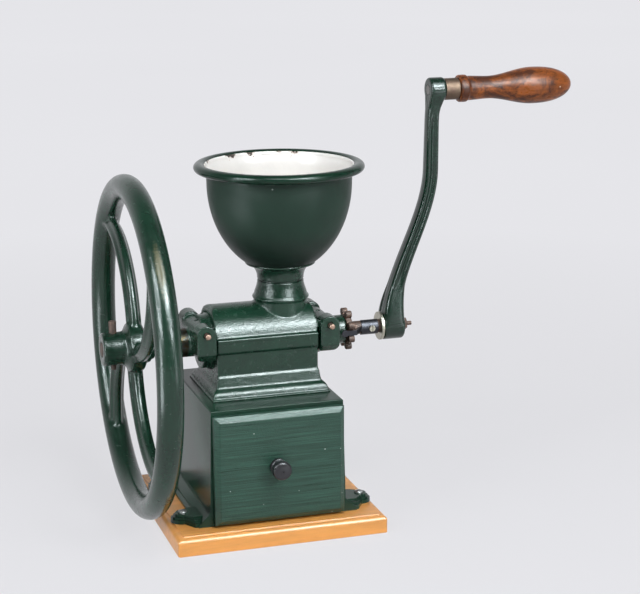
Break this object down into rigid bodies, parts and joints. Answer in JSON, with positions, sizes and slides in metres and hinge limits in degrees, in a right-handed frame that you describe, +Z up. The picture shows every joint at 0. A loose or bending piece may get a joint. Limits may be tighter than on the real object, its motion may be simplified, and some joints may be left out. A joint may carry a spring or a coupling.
{
  "type": "manual coffee grinder",
  "caption": "Hand-cranked coffee mill on a wooden board: cast-iron casing with drawer, burr head with bowl hopper, spoked flywheel at one end of the shaft and crank at the other.",
  "frame": {"origin": "centre of the board's underside, on the table", "axes": "+X along the shaft from the flywheel to the crank, +Y to the back (the drawer opens towards -Y), +Z up"},
  "size_m": [0.5136, 0.3534, 0.4605],
  "materials": {
    "green_enamel": "glossy bottle-green paint over rough cast iron",
    "bowl_enamel": "glossy green outside, white enamel inside",
    "green_wood": "green paint with brush marks, satin",
    "board_wood": "clear varnish, glossy",
    "tray_wood": "bare, matt",
    "black_wood": "black lacquer, glossy",
    "grip_wood": "old varnish with dark stains, glossy",
    "rusty_steel": "brown with rust, worn bright at the ends",
    "zinc_steel": "zinc plated",
    "nickel_steel": "bright nickel",
    "blue_steel": "blue-black, hardened",
    "plain_steel": "plain, oiled",
    "brown_steel": "browned, satin",
    "bush_brass": "turned",
    "burr_iron": "dark, machined faces"
  },
  "bodies": {
    "housing": {"base_board": "board_wood", "body_casing": "green_enamel", "lug_screws": "zinc_steel", "mill_head": "green_enamel", "head_bolts": "plain_steel", "hopper_collar": "green_enamel", "hopper_bowl": "bowl_enamel", "bearing_bridge_left": "green_enamel", "bearing_bridge_right": "green_enamel", "bridge_pins_left": "rusty_steel", "bridge_pins_right": "rusty_steel", "bush_left": "bush_brass", "bush_right": "bush_brass", "fixed_burr": "burr_iron", "burr_screws": "plain_steel"},
    "drawer": {"drawer_front": "green_wood", "drawer_tray": "tray_wood", "drawer_knob": "black_wood", "knob_screw": "zinc_steel"},
    "spindle": {"main_shaft": "rusty_steel", "moving_burr": "burr_iron", "burr_pin": "plain_steel", "feed_auger": "burr_iron", "auger_pin": "plain_steel", "flywheel": "green_enamel", "flywheel_pin": "rusty_steel", "detent_spring": "blue_steel", "detent_screw": "nickel_steel", "crank_washer": "nickel_steel", "crank_arm": "green_enamel", "crank_nut": "rusty_steel", "grip_spindle": "plain_steel", "grip_ferrule": "brown_steel"},
    "setting_nut": {"star_nut": "rusty_steel"},
    "grip": {"wooden_grip": "grip_wood"}
  },
  "joints": [
    {"name": "shaft_spin", "type": "hinge", "parent": "housing", "child": "spindle", "pos_m": [0, 0, 0.1924], "axis": [1, 0, 0], "continuous": true},
    {"name": "grind_adjust", "type": "hinge", "parent": "spindle", "child": "setting_nut", "pos_m": [0.102, 0, 0.1924], "axis": [1, 0, 0], "range_deg": [-180, 180], "deforming": ["detent_spring"]},
    {"name": "grip_spin", "type": "hinge", "parent": "spindle", "child": "grip", "pos_m": [0.28, 0, 0.4412], "axis": [1, 0, 0], "continuous": true},
    {"name": "drawer_slide", "type": "slide", "parent": "housing", "child": "drawer", "axis": [0, -1, 0], "range_m": [0, 0.13]}
  ]
}
